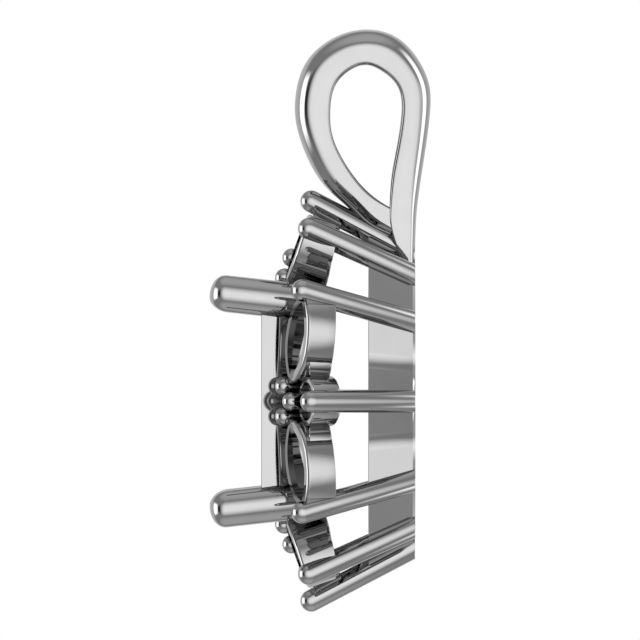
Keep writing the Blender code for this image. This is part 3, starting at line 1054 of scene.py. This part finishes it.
@dataclass
class Bail(SubAssembly):
    """Teardrop strap with flat sides and a domed outer face."""

    steps: int = 8
    rim_steps: int = 6
    dome_steps: int = 32
    sections: tuple[StrapSection, ...] = tuple(StrapSection(*row) for row in (
        ((1.37, -7.15), (1.63, -7.15), 0.50, 0.10, 0.03),
        ((1.20, -6.53), (1.64, -6.53), 0.54, 0.16, 0.03),
        ((0.88, -5.58), (1.67, -5.58), 0.58, 0.19, 0.05),
        ((0.80, -4.80), (1.72, -4.77), 0.62, 0.24, 0.09),
        ((0.86, -3.77), (1.86, -3.72), 0.66, 0.38, 0.15),
        ((1.03, -2.77), (2.02, -2.68), 0.71, 0.45, 0.17),
        ((1.20, -1.57), (2.16, -1.50), 0.77, 0.53, 0.16),
        ((1.06, -0.70), (2.03, -0.35), 0.86, 0.57, 0.14),
        ((0.53, -0.19), (1.19, 0.82), 0.95, 0.60, 0.14),
        ((0.00, 0.00), (-0.02, 1.185), 1.00, 0.60, 0.14),
        ((-0.54, -0.19), (-1.155, 0.855), 0.97, 0.60, 0.14),
        ((-1.01, -0.70), (-2.045, -0.02), 0.92, 0.59, 0.14),
        ((-1.17, -1.47), (-2.355, -1.30), 0.87, 0.58, 0.14),
        ((-1.12, -2.27), (-2.225, -2.32), 0.83, 0.58, 0.14),
        ((-0.85, -2.97), (-1.865, -3.25), 0.78, 0.56, 0.14),
        ((-0.45, -3.62), (-1.325, -4.07), 0.72, 0.51, 0.14),
        ((0.02, -4.17), (-0.55, -4.78), 0.66, 0.46, 0.14),
        ((0.52, -4.57), (0.10, -5.35), 0.60, 0.40, 0.10),
        ((1.02, -4.86), (0.82, -5.70), 0.55, 0.30, 0.05),
    ))

    def smoothed(self) -> list[tuple[Vector, Vector, float, float, float]]:
        """Lays one smooth curve through the strap's sections.

        Returns:
            The inner edge, the outer edge, half the width, the dome and the rim of many sections.
        """
        rows = np.array([[*s.inner, *s.outer, s.half, s.dome, s.rim] for s in self.sections]) * MM
        count = len(rows)
        # The control points of a cubic B-spline are solved so that it meets every section.
        system = np.zeros((count, count))
        system[0, 0] = system[-1, -1] = 1.0
        for i in range(1, count - 1):
            system[i, i - 1:i + 2] = (1 / 6, 4 / 6, 1 / 6)
        middle = np.linalg.solve(system, rows)
        control = np.vstack([2 * middle[0] - middle[1], middle, 2 * middle[-1] - middle[-2]])
        result = []
        for i in range(count - 1):
            last = 1 if i == count - 2 else 0
            for k in range(self.steps + last):
                t = k / self.steps
                weights = np.array([(1 - t) ** 3, 3 * t ** 3 - 6 * t ** 2 + 4,
                                    -3 * t ** 3 + 3 * t ** 2 + 3 * t + 1, t ** 3]) / 6
                values = weights @ control[i:i + 4]
                result.append((Vector(values[0:2]), Vector(values[2:4]),
                               *(float(v) for v in values[4:7])))
        return result

    def outline(self, inner: Vector, outer: Vector, half: float, dome: float,
                edge: float) -> list[Vector]:
        """Draws one section: flat inside, flat sides and a domed outside.

        Args:
            inner: Its inner edge, as (back, up).
            outer: Its outer edge.
            half: Half its width.
            dome: Height of its crown.
            edge: Rounding of its inner edges.

        Returns:
            Its points, in order round it.
        """
        rise = (outer - inner).normalized()
        side_height = (outer - inner).length - dome
        rim = []
        for k in range(self.rim_steps + 1):
            angle = math.pi / 2 * k / self.rim_steps
            rim.append((-half + edge * (1 - math.sin(angle)), edge * (1 - math.cos(angle))))
        crown = []
        for k in range(self.dome_steps + 1):
            angle = math.pi * k / self.dome_steps
            crown.append((-half * math.cos(angle), side_height + dome * math.sin(angle)))
        points = rim + crown + [(-x, h) for x, h in reversed(rim)]
        return [Vector((x, inner.x + rise.x * h, inner.y + rise.y * h)) for x, h in points]

    def build(self) -> None:
        """Models the strap as one loft."""
        strap = loft("bail", [self.outline(*row) for row in self.smoothed()])
        self.jeweller.set(strap, STRAP_EDGES)


# Studio

Stops = tuple[tuple[float, float], ...]
Edge = tuple[float, float]


@dataclass(frozen=True)
class LightTent:
    """What the polished metal mirrors: white walls and grey cards, as tones by direction.

    The stops are pairs of place and tone. On a wall the place runs from 0, towards the camera, to
    1, behind the pendant, and on the ceiling from 0, level, to 1, straight up or down. An edge is
    the pair of slopes between which a wall gives way to the ceiling.
    """

    right_wall: Stops = ((0.0, 0.86), (0.25, 0.78), (0.305, 0.60), (0.34, 0.54), (0.40, 0.46),
                         (0.455, 0.44), (0.475, 1.3), (0.62, 1.3), (0.66, 0.31), (1.0, 0.57))
    left_wall: Stops = ((0.0, 0.86), (0.09, 0.80), (0.155, 0.62), (0.21, 0.40), (0.25, 0.22),
                        (0.285, 0.03), (0.40, 0.02), (0.425, 1.35), (0.61, 1.35), (0.64, 0.38),
                        (1.0, 0.57))
    ceiling: Stops = ((0.0, 0.19), (0.51, 0.20), (0.58, 0.24), (0.645, 0.29), (0.71, 0.32),
                      (0.78, 0.35), (1.0, 0.37))
    ahead_edge: Edge = (0.1, 1.15)
    left_edge: Edge = (0.25, 0.50)
    right_edge: Edge = (0.45, 1.2)
    behind_edge: Edge = (0.4, 1.0)
    ahead_to_beside: tuple[float, float] = (0.40, 0.47)
    beside_to_behind: tuple[float, float] = (0.62, 0.72)
    half_seam: float = 0.02
    least_reach: float = 0.001
    fading_bounces: tuple[float, float] = (2.0, 3.5)
    faded_share: float = 0.16

    def wall_share(self, sheet: NodeSheet, height: object, reach: object, edge: Edge) -> object:
        """Adds the share of a wall against the ceiling.

        Args:
            sheet: The world's nodes.
            height: Height of the direction.
            reach: Its reach towards the wall.
            edge: The wall's edge.

        Returns:
            The output socket, 1 on the wall and 0 on the ceiling.
        """
        slope = sheet.math("DIVIDE", height, sheet.math("MAXIMUM", reach, self.least_reach))
        return sheet.math("SUBTRACT", 1.0, sheet.smooth_step(slope, *edge))

    def tone(self, sheet: NodeSheet) -> object:
        """Adds the tone of the tent in each direction.

        Args:
            sheet: The world's nodes.

        Returns:
            The output socket.
        """
        place_node = sheet.add("ShaderNodeTexCoord")
        parts = sheet.add("ShaderNodeSeparateXYZ")
        sheet.link(place_node.outputs["Generated"], parts.inputs[0])
        x, y, z = parts.outputs
        height, side = sheet.math("ABSOLUTE", z), sheet.math("ABSOLUTE", y)
        azimuth = sheet.math("DIVIDE", sheet.math("ARCTAN2", side, x), math.pi)
        elevation = sheet.math("DIVIDE", sheet.math("ARCSINE", height), math.pi / 2)
        from_right = sheet.smooth_step(y, -self.half_seam, self.half_seam)
        wall = sheet.mix(from_right, sheet.ramp(azimuth, self.left_wall),
                         sheet.ramp(azimuth, self.right_wall))
        ahead = self.wall_share(sheet, height, x, self.ahead_edge)
        beside = sheet.mix(from_right, self.wall_share(sheet, height, side, self.left_edge),
                           self.wall_share(sheet, height, side, self.right_edge))
        behind = self.wall_share(sheet, height, sheet.math("MULTIPLY", x, -1.0), self.behind_edge)
        share = sheet.mix(sheet.smooth_step(azimuth, *self.ahead_to_beside), ahead, beside)
        share = sheet.mix(sheet.smooth_step(azimuth, *self.beside_to_behind), share, behind)
        return sheet.mix(share, sheet.ramp(elevation, self.ceiling), wall)

    def build(self) -> None:
        """Sets up the world, which the metal mirrors and the camera sees as plain white.

        Later reflections fade, in place of the dark room that the real metal mirrors between its
        own walls.
        """
        world = bpy.data.worlds.new("light_tent")
        bpy.context.scene.world = world
        world.use_nodes = True
        world.node_tree.nodes.clear()
        sheet = NodeSheet(world.node_tree)
        path = sheet.add("ShaderNodeLightPath")
        late = sheet.smooth_step(path.outputs["Ray Depth"], *self.fading_bounces)
        reflected = sheet.add("ShaderNodeBackground")
        sheet.link(sheet.math("MULTIPLY", self.tone(sheet), sheet.mix(late, 1.0, self.faded_share)),
                   reflected.inputs["Color"])
        seen = sheet.add("ShaderNodeBackground")
        seen.inputs["Color"].default_value = (1.0, 1.0, 1.0, 1.0)
        blend = sheet.add("ShaderNodeMixShader")
        sheet.link(path.outputs["Is Camera Ray"], blend.inputs[0])
        sheet.link(reflected.outputs[0], blend.inputs[1])
        sheet.link(seen.outputs[0], blend.inputs[2])
        leave = sheet.add("ShaderNodeOutputWorld")
        sheet.link(blend.outputs[0], leave.inputs["Surface"])


@dataclass
class Studio:
    """Pale floor, soft room light and the camera at the pendant's side."""

    picture_px: int = 640
    px_per_mm: float = 30.0
    hang_point_px: tuple[float, float] = (365.5, 65.0)
    camera_distance: float = 0.95
    camera_clip: tuple[float, float] = (0.01, 10.0)
    sensor_width: float = 36.0
    floor_drop: float = 0.075
    floor_radius: float = 0.3
    floor_thickness: float = 0.002
    floor_sides: int = 96
    paper_tone: float = 0.9
    paper_roughness: float = 0.9
    softbox_size: float = 0.5
    softbox_energy: float = 1.2
    softbox_height: float = 0.6

    def camera(self) -> None:
        """Sets the camera square to the pendant's side with a long lens."""
        middle_px = self.picture_px / 2
        across = (middle_px - self.hang_point_px[0]) / self.px_per_mm * MM
        up = (self.hang_point_px[1] - middle_px) / self.px_per_mm * MM
        view_width = self.picture_px / self.px_per_mm * MM
        data = bpy.data.cameras.new("side_camera")
        data.sensor_width = self.sensor_width
        data.lens = self.sensor_width * self.camera_distance / view_width
        data.clip_start, data.clip_end = self.camera_clip
        camera = bpy.data.objects.new("side_camera", data)
        camera.location = (self.camera_distance, across, up)
        camera.rotation_euler = (math.pi / 2, 0.0, math.pi / 2)
        bpy.context.scene.collection.objects.link(camera)
        bpy.context.scene.camera = camera

    def floor(self) -> None:
        """Lays a pale disc well below the hanging pendant."""
        clear_selection()
        middle = (0.0, 0.0, -self.floor_drop - self.floor_thickness / 2)
        bpy.ops.mesh.primitive_cylinder_add(vertices=self.floor_sides, radius=self.floor_radius,
                                            depth=self.floor_thickness, location=middle)
        floor = bpy.context.object
        floor.name = "studio_floor"
        soften(floor, Bevel.STAGE)
        paper = bpy.data.materials.new("pale_paper")
        paper.use_nodes = True
        shader = paper.node_tree.nodes["Principled BSDF"]
        tone = self.paper_tone
        shader.inputs["Base Color"].default_value = (tone, tone, tone, 1.0)
        shader.inputs["Roughness"].default_value = self.paper_roughness
        floor.data.materials.append(paper)
        floor.visible_glossy = False

    def lights(self) -> None:
        """Hangs one broad soft light above, for the floor."""
        data = bpy.data.lights.new("ceiling_softbox", "AREA")
        data.shape = "DISK"
        data.size = self.softbox_size
        data.energy = self.softbox_energy
        light = bpy.data.objects.new("ceiling_softbox", data)
        light.location = (0.0, 0.0, self.softbox_height)
        light.visible_glossy = False
        bpy.context.scene.collection.objects.link(light)

    def build(self) -> None:
        """Sets up the whole studio."""
        self.camera()
        self.floor()
        self.lights()
        LightTent().build()
        view = bpy.context.scene.view_settings
        view.view_transform = "Standard"
        view.look = "None"


def main() -> None:
    """Builds every sub-assembly in order."""
    logging.basicConfig(level=logging.INFO, format="%(name)s %(message)s")
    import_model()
    Studio().build()
    jeweller = Jeweller(WhiteMetal().material(BuffingMarks().group()))
    prongs = OuterProngs(jeweller)
    for assembly in (prongs, BackRail(jeweller, prongs), CentreHead(jeweller),
                     SideSeats(jeweller), Beads(jeweller), Bail(jeweller)):
        assembly.build()


if __name__ == "__main__":
    main()
